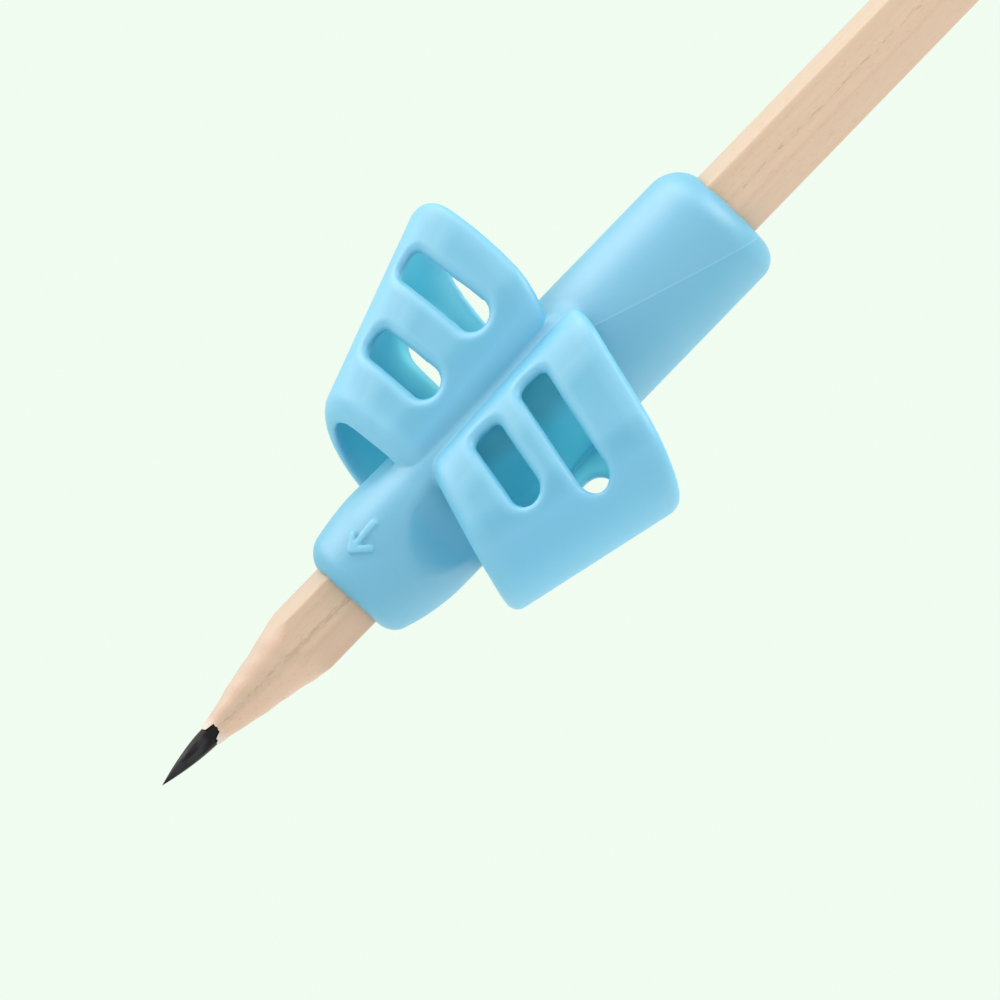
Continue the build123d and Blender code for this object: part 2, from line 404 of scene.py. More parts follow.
def field_skin(field, lines):
    """Points and faces of the surface where a field on a grid of three lines passes through zero."""
    values = field(*np.meshgrid(*lines, indexing="ij", sparse=True))
    inside = values < 0
    cells = tuple(size - 1 for size in values.shape)
    total, count = np.zeros((*cells, 3)), np.zeros(cells)
    crossings = []
    for axis in range(3):
        here = np.take(values, range(cells[axis]), axis)
        there = np.take(values, range(1, cells[axis] + 1), axis)
        crossed = (here < 0) != (there < 0)
        share = np.where(crossed, here / np.where(crossed, here - there, 1), 0)
        spread = [np.arange(size) for size in here.shape]
        for place in range(3):
            shape = [-1 if a == place else 1 for a in range(3)]
            at = lines[place][spread[place]].reshape(shape)
            if place == axis:
                at = at + share * np.diff(lines[axis]).reshape(shape)
            total[..., place] += beside(crossed * at, axis)
        count += beside(crossed.astype(float), axis)
        crossings.append((axis, crossed))
    used = count > 0
    number = np.full(cells, -1)
    number[used] = np.arange(used.sum())
    points = total[used] / count[used][:, None]
    quads = []
    for axis, crossed in crossings:
        at = np.argwhere(crossed)
        a, b = (axis + 1) % 3, (axis + 2) % 3
        at = at[(at[:, a] > 0) & (at[:, b] > 0) & (at[:, a] < cells[a]) & (at[:, b] < cells[b])]
        step_a, step_b = np.eye(3, dtype=int)[a], np.eye(3, dtype=int)[b]
        ring = [at - step_a - step_b, at - step_b, at, at - step_a]
        quad = np.stack([number[tuple(corner.T)] for corner in ring], 1)
        outward = inside[tuple(at.T)]
        quads.append(np.where(outward[:, None], quad, quad[:, ::-1]))
    return points, np.concatenate(quads)


grid = [grid_line(*line) for line in zip(grip_low, grip_high, GRID_ZONES)]
grip_points, grip_quads = field_skin(grip_field, grid)
print("grid of", [len(line) for line in grid], "gives", len(grip_points), "points")

# %% [markdown]
# The first points lie only near the skin, and unevenly. A smoothing modifier would even them out but wear the
# edges down. Here each point moves towards the mean of its neighbours and then slides down the field's
# slope until it lies on the skin itself, so the edges stay.

# %% Settling on the skin
SLOPE_STEP = 0.02
LEAST_STEEP = 0.2
SLIDES = 3
RELAXES = 2


def field_slope(field, points):
    """The field and its slope at points, from small steps both ways along each axis."""
    steps = SLOPE_STEP * np.eye(3)
    slope = [(field(*(points + s).T) - field(*(points - s).T)) / (2 * SLOPE_STEP) for s in steps]
    return field(*points.T), np.stack(slope, 1)


def settle(field, points):
    """Points moved down the field's slope until they lie on its skin, no further than a grid step."""
    for _ in range(SLIDES):
        value, slope = field_slope(field, points)
        steep = np.maximum((slope**2).sum(1), LEAST_STEEP)
        points = points - np.clip(value / steep, -GRID_STEP, GRID_STEP)[:, None] * slope
    return points


def relax(points, quads):
    """Points moved half way to the mean of their neighbours, which evens out the faces."""
    start, end = quads.ravel(), np.roll(quads, -1, 1).ravel()
    count = np.bincount(start, minlength=len(points)) + np.bincount(end, minlength=len(points))
    total = [np.bincount(start, points[end, k]) + np.bincount(end, points[start, k]) for k in range(3)]
    return (points + np.stack(total, 1) / count[:, None]) / 2


for _ in range(RELAXES):
    grip_points = settle(grip_field, relax(grip_points, grip_quads))
silicone_grip = add_piece("silicone_grip", grip_points, grip_quads, "grip", ["grip"])
print("skin off by at most", np.abs(grip_field(*grip_points.T)).max().round(4), "mm")

# %% [markdown]
# Light passes through thin silicone, so the pockets are given a clearer blue than the sleeve, which has wood
# behind it. Light and shade are painted on top: painted shade and light inside the pockets and on their
# floors, painted light on their flanks, painted highlights on their folds, round edges and the arrow, and
# painted shade in the groove between the pockets. A brush could paint this, but the fields know the places
# already.

# %% Where the rubber is thin, and where light and shade are painted
INSIDE_FROM, INSIDE_TO = 0.8, 1.5
RIM_SHARE, RIM_FADE = 0.4, 4.0
EDGE_WIDTH, RIM_WIDTH, FACE_WIDTH = 1.5, 2.6, 1.0
FLOOR_REACH, RIM_LEAD = 2.8, 0.3


def from_rims(x, out, z, rims):
    """Distance from the nearer of a pocket's two rims, positive between them."""
    return np.minimum(behind_rim(x, out, z, rims[0]), -behind_rim(x, out, z, rims[1]))


def through_wall(x, out, z):
    """0 on a pocket's outside and 1 on its inside, rising through the wall."""
    return np.clip((-pocket_skin(x, out, z) - INSIDE_FROM) / (INSIDE_TO - INSIDE_FROM), 0, 1)


def inside_pocket(x, out, z, rims):
    """0 outside a pocket and 1 inside it, fading in through the wall and from both rims."""
    return through_wall(x, out, z) * np.clip(RIM_SHARE + from_rims(x, out, z, rims) / RIM_FADE, 0, 1)


def round_edge(x, out, z, rims, slots):
    """1 on the round outer edges of slots and rims, fading to 0 a little way off and down in the hole."""
    from_slot = np.minimum(slot_field(x, out, slots[0]), slot_field(x, out, slots[1]))
    near_slot = np.clip(1 - from_slot / EDGE_WIDTH, 0, 1) * (z > MID_HEIGHT)
    from_rim = from_rims(x, out, z, rims)
    near_rim = np.clip(1 - from_rim / RIM_WIDTH, 0, 1)
    outer = np.maximum(near_slot, near_rim) * np.clip(1 + pocket_skin(x, out, z) / EDGE_WIDTH, 0, 1)
    return np.maximum(outer, np.clip(1 - from_rim / FACE_WIDTH, 0, 1))


def lit_floor(x, out, z, rims):
    """1 beside a hole that lets light in from below, the slot under a pocket or its wide rim, fading to 0."""
    near_slot = 1 - under_slot_field(x, out) / FLOOR_REACH
    near_rim = 1 + RIM_LEAD + behind_rim(x, out, z, rims[1]) / FLOOR_REACH
    return through_wall(x, out, z) * np.clip(np.maximum(near_slot, near_rim), 0, 1)


index_at, thumb_at = grip_points.T, (grip_points * (1, -1, 1)).T
index_inside = inside_pocket(*index_at, INDEX_RIMS)
thumb_inside = inside_pocket(*thumb_at, THUMB_RIMS)
grip_inside = np.maximum(index_inside, thumb_inside)
print("inside a pocket are", (grip_inside > 0).sum(), "of", len(grip_points), "points")

# %% [markdown]
# Read at the skin's own points, these functions give seven values for each vertex, which the finish mixes its
# colours by. A picture wrapped round the piece would need seams. Values at the vertices need none.

# %% Seven values for each vertex
BLEND = 1.0
FLANK_DROP, INNER_FLANK = 1.0, 0.78
FOLD_MIDDLE, FOLD_HALF = -0.3, 2.0
TURN_FROM, TURN_TO = 2.5, 4.0
GROOVE_WIDTH, GROOVE_HALF = 2.0, 2.5
GROOVE_END, GROOVE_FADE = 5.0, 6.0
ARROW_HIGHLIGHT = 0.7

grip_x, grip_y, grip_z = grip_points.T
outside, upper = grip_inside == 0, grip_z > MID_HEIGHT
index_depth = pocket_field(*index_at, INDEX_RIMS, INDEX_SLOTS)
thumb_depth = pocket_field(*thumb_at, THUMB_RIMS, THUMB_SLOTS)
from_pockets = np.minimum(index_depth, thumb_depth)
from_sleeve = sleeve_field(grip_x, grip_y, grip_z)
in_pocket = np.clip(0.5 + (from_sleeve - from_pockets) / BLEND, 0, 1)
# Painted shade: the groove between the pockets, along the ridge, is painted deeper.
at_ridge = np.clip(GROOVE_HALF - np.abs(grip_y), 0, 1) * np.clip((GROOVE_END - grip_x) / GROOVE_FADE, 0, 1)
from_crease = np.maximum(from_pockets, from_sleeve)

below_top = along_taper(grip_x, HEIGHT) + POCKET_RADIUS - grip_z
inner_end, outer_end = along_taper(grip_x, INNER_END), along_taper(grip_x, OUTER_END)
# Painted light: the pockets are painted paler away from their tops, a little less on their inner sides.
flank_share = np.where(np.abs(grip_y) < inner_end, INNER_FLANK, 1)
past_fold = np.where(grip_y > 0, grip_y - outer_end, grip_y + inner_end)
# Painted highlight along each pocket's fold, on its upper side.
near_fold = np.clip(1 - np.abs(past_fold - FOLD_MIDDLE) / FOLD_HALF, 0, 1)
# Painted highlight: past the fold the outer side is painted paler, and so are the round edges of slots and
# rims and the top of the arrow.
turned = np.clip((past_fold - TURN_FROM) / (TURN_TO - TURN_FROM), 0, 1) * upper

index_edge = round_edge(*index_at, INDEX_RIMS, INDEX_SLOTS) * (grip_y > 0)
thumb_edge = round_edge(*thumb_at, THUMB_RIMS, THUMB_SLOTS) * (grip_y < 0)
pocket_edge_highlight = np.maximum(index_edge + thumb_edge, turned * outside)
arrow_highlight = ARROW_HIGHLIGHT * np.clip(from_sleeve / ARROW_RELIEF, 0, 1)
# Apart from where the pockets are, these values place painted light and shade: painted shade in the groove,
# painted shade and bounce light inside, painted light on the flanks, folds and floors, painted highlights on
# edges.
grip_values = {
    "pocket": in_pocket,
    "groove": at_ridge * np.clip(1 - from_crease / GROOVE_WIDTH, 0, 1),
    "inside": grip_inside,
    "flank": flank_share * np.clip(below_top / FLANK_DROP, 0, 1) * outside,
    "fold": near_fold * outside * upper,
    "floor": np.where(grip_y > 0, lit_floor(*index_at, INDEX_RIMS), lit_floor(*thumb_at, THUMB_RIMS)),
    "edge": in_pocket * pocket_edge_highlight + (1 - in_pocket) * arrow_highlight,
}
for name, values in grip_values.items():
    kept = silicone_grip.data.attributes.new(name, "FLOAT", "POINT")
    kept.data.foreach_set("value", values.astype(np.float32))
    print(name, "is", values.mean().round(3), "on average")

# %% [markdown]
# The pencil is two grooved slats glued round a lead. Seen along the pencil, each slat is a half hexagon with
# a half-round groove, and the sharpener's cone takes off its front. Boolean cuts could make it, but one
# formula gives the outside with no seams: the smaller of the hexagon's radius and the cone's. The wood tears
# unevenly where it meets the lead, and one splinter is missing on the upper side.

# %% The two slats
TAIL_X = box_mm("lead")[1][0]
CONE_APEX, CONE_SLOPE, CONE_REAR = -52.54, 0.2065, -30.0
CONE_SOFT = 0.02
CORNER_POWER = 30
LEAD_RADIUS = 1.25
GROOVE_ROOM = 0.01
TORN_X, TORN_FADE = -46.5, 5.0
CHIP_TURN, CHIP_HALF, CHIP_DEPTH = np.radians(114.0), np.radians(27.0), 0.92
CHIP_POWER = 8
# A wave of the torn edge is its height, how many go round the pencil and where it starts. A waver of the
# cone is its height and how fast it goes along the pencil and round it.
TORN_WAVES = ((0.11, 3, 1), (0.09, 7, 2), (0.07, 16, 0))
CONE_WAVERS = ((0.035, 0.9, 2), (0.025, 2.3, -3))
SLAT_ANGLES = 121
CONE_STATIONS, BARREL_STATIONS = 90, 40
SHARP_WOOD = 35


def polar(radius, turn):
    """Y and Z of a point at a radius, turned from +Y towards +Z."""
    return radius * np.cos(turn), radius * np.sin(turn)


def hexagon_radius(turn):
    """Radius of a hexagon with slightly rounded corners: a high power mean over its six flats."""
    flats = PENCIL_TURN + np.radians(30) + np.arange(6) * np.pi / 3
    facing = np.maximum(np.cos(turn[..., None] - flats), 0)
    return WOOD_HALF * (facing**CORNER_POWER).sum(-1) ** (-1 / CORNER_POWER)


def torn_edge(turn):
    """Where the wood ends along the pencil: small waves round the point, and one missing splinter."""
    waves = sum(height * np.sin(count * turn + begin) for height, count, begin in TORN_WAVES)
    away = np.abs(np.angle(np.exp(1j * (turn - CHIP_TURN)))) / CHIP_HALF
    return TORN_X + waves + CHIP_DEPTH / (1 + away**CHIP_POWER)


def wood_radius(x, turn):
    """The smaller of the hexagon and a cone with a faint waver from the blade, with a soft edge between."""
    waver = sum(height * np.sin(along * x + around * turn) for height, along, around in CONE_WAVERS)
    cone = (x - CONE_APEX) * CONE_SLOPE + waver
    return -CONE_SOFT * np.logaddexp(-cone / CONE_SOFT, -hexagon_radius(turn) / CONE_SOFT)


def tube_quads(rings, around):
    """Faces between neighbouring closed rings, and across both end rings from one half to the other."""
    number = np.arange(rings * around).reshape(rings, around)
    after = np.roll(number, -1, 1)
    side = np.stack([number[:-1], after[:-1], after[1:], number[1:]], -1).reshape(-1, 4)
    half = around // 2
    ends = []
    for ring in (number[0], number[-1, ::-1]):
        there, back = ring[:half], ring[: half - 1 : -1]
        ends.append(np.stack([there[:-1], back[:-1], back[1:], there[1:]], -1))
    return np.concatenate([side, *ends])


def slat_surface(first_turn):
    """Points and faces of one slat: rings that go round the outside and back through the groove."""
    turn = first_turn + np.linspace(0, np.pi, SLAT_ANGLES)
    cone = np.linspace(TORN_X, CONE_REAR, CONE_STATIONS)
    station = np.concatenate([cone, np.linspace(CONE_REAR, TAIL_X, BARREL_STATIONS)[1:]])
    fade = np.clip(1 - (station - TORN_X) / TORN_FADE, 0, 1) ** 2
    x = station[:, None] + fade[:, None] * (torn_edge(turn) - TORN_X)
    outer = np.stack([x, *polar(wood_radius(x, turn), turn)], -1)
    groove = np.full_like(x, LEAD_RADIUS + GROOVE_ROOM)
    inner = np.stack([x, *polar(groove, turn)], -1)[:, ::-1]
    rings = np.concatenate([outer, inner], 1)
    return rings.reshape(-1, 3), tube_quads(*rings.shape[:2])


slats = {}
for slat, first_turn in (("upper", PENCIL_TURN), ("lower", PENCIL_TURN + np.pi)):
    points, quads = slat_surface(first_turn)
    slats[slat] = add_piece(f"{slat}_slat", points, quads, "pencil", [f"slat_{slat}"], SHARP_WOOD)

# %% [markdown]
# The lead is a thin rod of fired graphite and clay. A blade has cut its end to a fine point with a few long
# flats. A plain cone would look too even, so the radius follows a curve and depends a little on the
# direction round the point.

# %% The lead
POINT_X = -53.6
POINT_LENGTH, POINT_CURVE, POINT_RADIUS = 7.0, 1.7, 1.1
ROD_LENGTH = 3
LEAD_FLATS, FLAT_DEPTH, FLAT_TURN, FLAT_FADE = 5, 0.06, 0.4, 4
LEAD_RINGS, LEAD_AROUND = 120, 96
RING_POWER = 1.5
SHARP_LEAD = 40


def lead_radius(x, turn):
    """A curve that rises fast from the point and then levels off, with shallow flats that fade into the
    rod."""
    share = np.clip((x - POINT_X) / POINT_LENGTH, 0, 1)
    facet = np.abs(np.sin(LEAD_FLATS * turn / 2 + FLAT_TURN)) - 0.5
    shaped = POINT_RADIUS * (1 - (1 - share) ** POINT_CURVE)
    shaped = shaped * (1 + FLAT_DEPTH * facet * np.minimum(FLAT_FADE * (1 - share), 1))
    grown = np.clip((x - POINT_X - POINT_LENGTH) / ROD_LENGTH, 0, 1)
    return shaped + (LEAD_RADIUS - POINT_RADIUS) * grown


lead_x = POINT_X + POINT_LENGTH * np.linspace(0, 1, LEAD_RINGS) ** RING_POWER
lead_x = np.concatenate([lead_x, [POINT_X + POINT_LENGTH + ROD_LENGTH, TAIL_X]])[:, None]
lead_turn = np.linspace(0, 2 * np.pi, LEAD_AROUND, endpoint=False)[None, :]
lead_x = np.broadcast_to(lead_x, (len(lead_x), LEAD_AROUND))
lead_rings = np.stack([lead_x, *polar(lead_radius(lead_x, lead_turn), lead_turn)], -1)
lead_points, lead_quads = lead_rings.reshape(-1, 3), tube_quads(*lead_rings.shape[:2])
lead_core = add_piece("lead_core", lead_points, lead_quads, "pencil", ["lead"], SHARP_LEAD)

# %% [markdown]
# Materials are built from nodes. Linking each of them by hand takes many lines, so one small class stands for
# an output socket: sums and products of sockets add Math nodes, and its node method adds any other node with
# its settings and inputs.

# %% Sockets that can be calculated with


class Shade:
    """An output socket in a material's node tree."""

    def __init__(self, tree, socket=None):
        self.tree = tree
        self.socket = socket

    def node(self, kind, settings=None, inputs=None, output=0):
        """Add a node, set its properties, then fill or link its inputs."""
        made = self.tree.nodes.new(kind)
        for key, value in (settings or {}).items():
            setattr(made, key, value)
        for key, value in (inputs or {}).items():
            if isinstance(value, Shade):
                self.tree.links.new(value.socket, made.inputs[key])
            else:
                made.inputs[key].default_value = value
        return Shade(self.tree, made.outputs[output] if made.outputs else None)

    def math(self, operation, *values):
        """One Math node on these values."""
        return self.node("ShaderNodeMath", {"operation": operation}, dict(enumerate(values)))

    def __add__(self, other):
        return self.math("ADD", self, other)

    def __sub__(self, other):
        return self.math("SUBTRACT", self, other)

    def __rsub__(self, other):
        return self.math("SUBTRACT", other, self)

    def __mul__(self, other):
        return self.math("MULTIPLY", self, other)

    __radd__ = __add__
    __rmul__ = __mul__

    def ramp(self, low, high):
        """0 below low, 1 above high and a smooth rise between."""
        limits = {"Value": self, "From Min": low, "From Max": high}
        return self.node("ShaderNodeMapRange", {"interpolation_type": "SMOOTHSTEP"}, limits)

    def over(self, span):
        """For a length: 0 before a span of millimetres, 1 after it and a smooth rise between."""
        return self.ramp(span[0] * MM, span[1] * MM)

    def blend(self, first, second):
        """A colour that goes from the first to the second as this value goes from 0 to 1."""
        colors = {"Factor": self, 6: first, 7: second}
        return self.node("ShaderNodeMix", {"data_type": "RGBA"}, colors, output=2)


print("a Shade has", ", ".join(name for name in vars(Shade) if not name.startswith("_")))

# %% [markdown]
# Every finish starts from an empty node tree and ends in a Principled shader. In between it reads where a
# point is on its piece, in metres, and noise at that place, so the pattern needs no unwrapping and stays put
# when the piece moves.

# %% Starting and closing a finish


def new_finish(name):
    """An empty material and a Shade in its node tree."""
    material = bpy.data.materials.new(name)
    material.use_nodes = True
    material.node_tree.nodes.clear()
    return material, Shade(material.node_tree)


def close_finish(start, **inputs):
    """The Principled shader with these inputs, wired to the material's output."""
    named = {key.replace("_", " ").title(): value for key, value in inputs.items()}
    named = {key.replace("Ior", "IOR"): value for key, value in named.items()}
    shader = start.node("ShaderNodeBsdfPrincipled", None, named)
    start.node("ShaderNodeOutputMaterial", None, {"Surface": shader})
    print("finish of", len(start.tree.nodes), "nodes")


def place_of(start):
    """The point on the piece, in metres, as a vector and as its X, Y and Z."""
    vector = start.node("ShaderNodeTexCoord", output="Object")
    axes = [start.node("ShaderNodeSeparateXYZ", None, {"Vector": vector}, axis) for axis in "XYZ"]
    return vector, axes


def vertex_value(start, name):
    """A value kept at the piece's vertices."""
    return start.node("ShaderNodeAttribute", {"attribute_name": name}, output="Fac")


def vector_math(start, operation, *values, output=0):
    """One Vector Math node on these vectors."""
    return start.node("ShaderNodeVectorMath", {"operation": operation}, dict(enumerate(values)), output)


def grain(start, vector, scale, stretch=(1, 1, 1), detail=2.0):
    """Noise with this many features a metre, stretched along the axes."""
    stretched = vector_math(start, "MULTIPLY", vector, stretch)
    return start.node("ShaderNodeTexNoise", None, {"Vector": stretched, "Scale": scale, "Detail": detail})


def bump(start, height, distance):
    """A normal that tilts as if the surface stood this far out where height is 1."""
    return start.node("ShaderNodeBump", None, {"Height": height, "Distance": distance, "Strength": 1.0})


# %% [markdown]
# Silicone out of a matt mould: an even sky blue with a soft sheen, a very fine pebble from the blasted mould,
# faint cloudiness, and on the tail a hair-thin parting line where the two mould halves met. Above that line
# the sleeve is painted a little paler, as painted light from above. One colour would look like plastic, so
# the values kept at the vertices make it paler or deeper where the rubber is thin, folded or creased, with
# painted light, painted highlights and painted shade.

# %% Silicone
SLEEVE_LOWER, SLEEVE_UPPER_LIT = (0.060, 0.392, 0.588, 1), (0.086, 0.416, 0.606, 1)
POCKET_BLUE, LIT_FLANK_BLUE = (0.010, 0.352, 0.540, 1), (0.078, 0.468, 0.712, 1)
FOLD_HIGHLIGHT, GROOVE_SHADE = (0.110, 0.460, 0.640, 1), (0.022, 0.350, 0.540, 1)
INSIDE_SLEEVE_SHADE, INSIDE_CREASE_SHADE = (0.015, 0.470, 0.620, 1), (0.008, 0.330, 0.450, 1)
INSIDE_FLOOR_LIGHT, INSIDE_WALL_BOUNCE = (0.320, 1.000, 1.000, 1), (0.022, 0.530, 0.690, 1)
EDGE_HIGHLIGHT, CLOUD_PALE = (0.125, 0.500, 0.700, 1), (0.100, 0.435, 0.630, 1)
PARTING_PALE = (0.20, 0.53, 0.72, 1)
CLOUD_SCALE, CLOUD_SHARE = 170, 0.25
PEBBLE_SCALE, PEBBLE_HEIGHT = 5200, 0.012
# Heights over which the sleeve inside a pocket goes over to the painted shade of the crease above it,
# and over which the painted light on a pocket's floor fades.
CREASE_SPAN, FLOOR_SPAN = (3.2, 5), (-3, 1.5)
PARTING_FRONT, PARTING_REAR = np.array((8.9, -2.27, 6.01)), np.array((27.4, -6.75, 1.78))
PARTING_LEAN = 4 * SLEEVE_DROP
PARTING_HALF, PARTING_CORE, PARTING_SHARE = 0.11, 0.3, 0.5
PARTING_START, PARTING_SIDE = (8.5, 9.5), (-1, 0)
LIT_HALF_BLEND = 0.2


def below_parting(start, vector):
    """Distance in metres below the plane where the mould halves meet, which holds two points of the parting
    line and leans outwards: the place along the plane's normal, less that of the first point."""
    both = PARTING_FRONT + PARTING_REAR
    normal = np.cross(PARTING_REAR - PARTING_FRONT, (0, both[1], both[2] + PARTING_LEAN))
    normal = normal / np.linalg.norm(normal)
    offset = float(normal @ PARTING_FRONT) * MM
    return vector_math(start, "DOT_PRODUCT", vector, normal, output="Value") - offset


silicone, start = new_finish("sky_blue_silicone")
vector, (x, y, z) = place_of(start)
cloud = grain(start, vector, CLOUD_SCALE).ramp(0.3, 0.7)
pebble = grain(start, vector, PEBBLE_SCALE, detail=1.0)
below = below_parting(start, vector)
parting = 1 - start.math("ABSOLUTE", below).over((PARTING_CORE * PARTING_HALF, PARTING_HALF))
parting = parting * x.over(PARTING_START) * (1 - y.over(PARTING_SIDE))
pocket, groove, inside, flank, fold, lit, edge = [vertex_value(start, name) for name in grip_values]

# Painted light: the sleeve above the parting line is painted paler than below it.
sleeve_lit_above = below.over((-LIT_HALF_BLEND, LIT_HALF_BLEND)).blend(SLEEVE_UPPER_LIT, SLEEVE_LOWER)
# Painted light: the pockets are painted paler on their flanks than on their tops.
color = pocket.blend(sleeve_lit_above, flank.blend(POCKET_BLUE, LIT_FLANK_BLUE))
# Painted highlight along the pockets' folds.
color = (fold * pocket).blend(color, FOLD_HIGHLIGHT)
# Painted shade in the groove between the pockets.
color = groove.blend(color, GROOVE_SHADE)
# Painted shade and bounce light inside the pockets: the sleeve there deeper and darkest under the crease, the
# walls a brighter, more saturated blue.
inside_sleeve_shade = z.over(CREASE_SPAN).blend(INSIDE_SLEEVE_SHADE, INSIDE_CREASE_SHADE)
color = inside.blend(color, pocket.blend(inside_sleeve_shade, INSIDE_WALL_BOUNCE))
# Painted light on the pockets' floors, beside the holes that let light in from below.
color = (lit * pocket * (1 - z.over(FLOOR_SPAN))).blend(color, INSIDE_FLOOR_LIGHT)
# Painted highlight on the round edges, the outer sides past the folds and the arrow.
color = edge.blend(color, EDGE_HIGHLIGHT)
color = (cloud * CLOUD_SHARE).blend(color, CLOUD_PALE)
color = (parting * PARTING_SHARE).blend(color, PARTING_PALE)
close_finish(
    start,
    base_color=color,
    roughness=0.46 + 0.08 * pebble + 0.4 * inside,
    ior=1.75,
    specular_ior_level=1.0,
    subsurface_weight=0.4,
    subsurface_radius=(0.4, 1.0, 1.2),
    subsurface_scale=0.7 * MM,
    normal=bump(start, 0.6 * pebble + parting, PEBBLE_HEIGHT * MM),
)
silicone_grip.data.materials.append(silicone)

# %% [markdown]
# The wood is plain and planed: a pale cream with long soft streaks of fibre, many tiny dark pores drawn out
# along the grain, and one line of pores along the upper flat, darkest before the cone. Each flat cuts the
# grain at another angle, so the thumb's side is rosier. The index finger's side is painted paler, a painted
# sheen, and the thumb's flat just before the sleeve is painted darker, a painted shade. Torn fibres at the
# point are paler. Noise stretched along the pencil gives all this without a picture.

# %% Wood
WOOD_CREAM, WOOD_TAN = (0.608, 0.452, 0.310, 1), (0.552, 0.402, 0.270, 1)
WOOD_CUT, WOOD_PORE = (0.540, 0.392, 0.270, 1), (0.450, 0.320, 0.215, 1)
WOOD_ROSE, WOOD_SHEEN = (0.663, 0.452, 0.323, 1), (0.541, 0.458, 0.371, 1)
WOOD_SHADED, WOOD_TORN = (0.567, 0.345, 0.243, 1), (0.680, 0.640, 0.600, 1)
FIBRE_SCALE, BAND_SCALE, FIBRE_STRETCH = 1500, 500, (0.04, 1, 1)
PORE_SCALE, PORE_STRETCH = 7000, (0.16, 1, 1)
ROSE_TURN, PALE_TURN = np.radians(171.0), np.radians(51.0)
# The line of pores: the direction across it, how far it wanders, its step aside at the dark part, its width
# and the dark part's, and the rise out of the pencil's middle that keeps it on the upper side.
LINE_TURN = np.radians(31.0)
WANDER_SCALE, WANDER, LINE_STEP = 90, 0.6, 0.25
LINE_WIDTH, DARK_WIDTH, LINE_RISE = (0.05, 0.28), (0.05, 0.45), (0, 1)
# The noise at which a pore starts and is full, on its own, in the line and in its dark part, and how strongly
# each shows.
PORE_RANGE, LINE_RANGE, DARK_RANGE = (0.62, 0.70), (0.48, 0.60), (0.38, 0.56)
PORE_SHARE, LINE_SHARE, DARK_BASE, DARK_PORES = 0.35, 0.6, 0.2, 0.8
# Stretches along the pencil over which one tone goes over to the next.
DARK_START, DARK_END = (-37, -34), (-27, -25)
CUT_SPAN, CONE_SPAN, BARREL_SPAN = (-36, -24), (-36, -32), (-25, -22)
TORN_SPAN = (TORN_X + 0.1, TORN_X + 1.6)
CUT_SHARE, ROSE_SHARE, CONE_ROSE = 0.4, 0.6, 0.5
SHADED_SHARE, SHEEN_SHARE, TORN_SHARE = 0.6, 0.55, 0.6


def facing(start, vector, turn):
    """How squarely a place faces a direction round the pencil: the cosine of the angle between them."""
    around = vector_math(start, "NORMALIZE", vector_math(start, "MULTIPLY", vector, (0, 1, 1)))
    return vector_math(start, "DOT_PRODUCT", around, (0, *polar(1.0, turn)), output="Value")


wood, start = new_finish("planed_wood")
vector, (x, y, z) = place_of(start)
fibre = grain(start, vector, FIBRE_SCALE, FIBRE_STRETCH, 3.0)
band = grain(start, vector, BAND_SCALE, FIBRE_STRETCH, 1.0)
pore = grain(start, vector, PORE_SCALE, PORE_STRETCH, 1.0)
across = y * float(np.cos(LINE_TURN)) + z * float(np.sin(LINE_TURN))
drift = (grain(start, vector, WANDER_SCALE, (1, 0, 0)) - 0.5) * (WANDER * MM)
near_point = x.over(DARK_START) * (1 - x.over(DARK_END))
aside = start.math("ABSOLUTE", across + drift + near_point * (LINE_STEP * MM))
line = (1 - aside.over(LINE_WIDTH)) * z.over(LINE_RISE)
pores = pore.ramp(*PORE_RANGE) * PORE_SHARE + line * pore.ramp(*LINE_RANGE) * LINE_SHARE
dark_line = (1 - aside.over(DARK_WIDTH)) * z.over(LINE_RISE) * near_point
dark_line = dark_line * (DARK_BASE + DARK_PORES * pore.ramp(*DARK_RANGE))

color = (fibre.ramp(0.3, 0.7) * 0.5 + band.ramp(0.35, 0.65) * 0.5).blend(WOOD_CREAM, WOOD_TAN)
color = ((1 - x.over(CUT_SPAN)) * CUT_SHARE).blend(color, WOOD_CUT)
to_thumb, to_index = facing(start, vector, ROSE_TURN), facing(start, vector, PALE_TURN)
on_cone, on_barrel = 1 - x.over(CONE_SPAN), x.over(BARREL_SPAN)
rose = to_thumb.ramp(0.72, 0.90) * (ROSE_SHARE * on_barrel + on_cone)
rose = rose + to_index.ramp(0.55, 0.85) * on_cone * CONE_ROSE
color = rose.blend(color, WOOD_ROSE)
before_sleeve = x.over(CONE_SPAN) * (1 - on_barrel)
color = (to_thumb.ramp(0.84, 0.90) * before_sleeve * SHADED_SHARE).blend(color, WOOD_SHADED)
# Painted sheen: the upper flat on the index finger's side is painted paler.
color = (to_index.ramp(0.84, 0.93) * SHEEN_SHARE).blend(color, WOOD_SHEEN)
color = (pores + dark_line).blend(color, WOOD_PORE)
color = ((1 - x.over(TORN_SPAN)) * TORN_SHARE).blend(color, WOOD_TORN)
close_finish(
    start,
    base_color=color,
    roughness=0.42 + 0.15 * fibre,
    specular_ior_level=0.9,
    normal=bump(start, 0.5 * fibre - pores, 0.02 * MM),
)
for piece in slats.values():
    piece.data.materials.append(wood)

# %% [markdown]
# Graphite is nearly black with a dull sheen. The blade leaves fine lines along the point, and greyer smears,
# random in tone, lie on its upper side only, as a painted sheen, and not near the wood. Both are noise
# stretched along the pencil, as the wood's fibre is.

# %% Graphite
GRAPHITE_DARK, GRAPHITE_SMEAR_SHEEN = (0.004, 0.004, 0.005, 1), (0.034, 0.033, 0.037, 1)
SCRATCH_SCALE, SCRATCH_STRETCH = 5000, (0.12, 1, 1)
SMEAR_SCALE, SMEAR_STRETCH = 900, (0.4, 1, 1)
UPPER_SPAN, ROOT_SPAN = (-0.3, 0.8), (-47.6, -46.7)

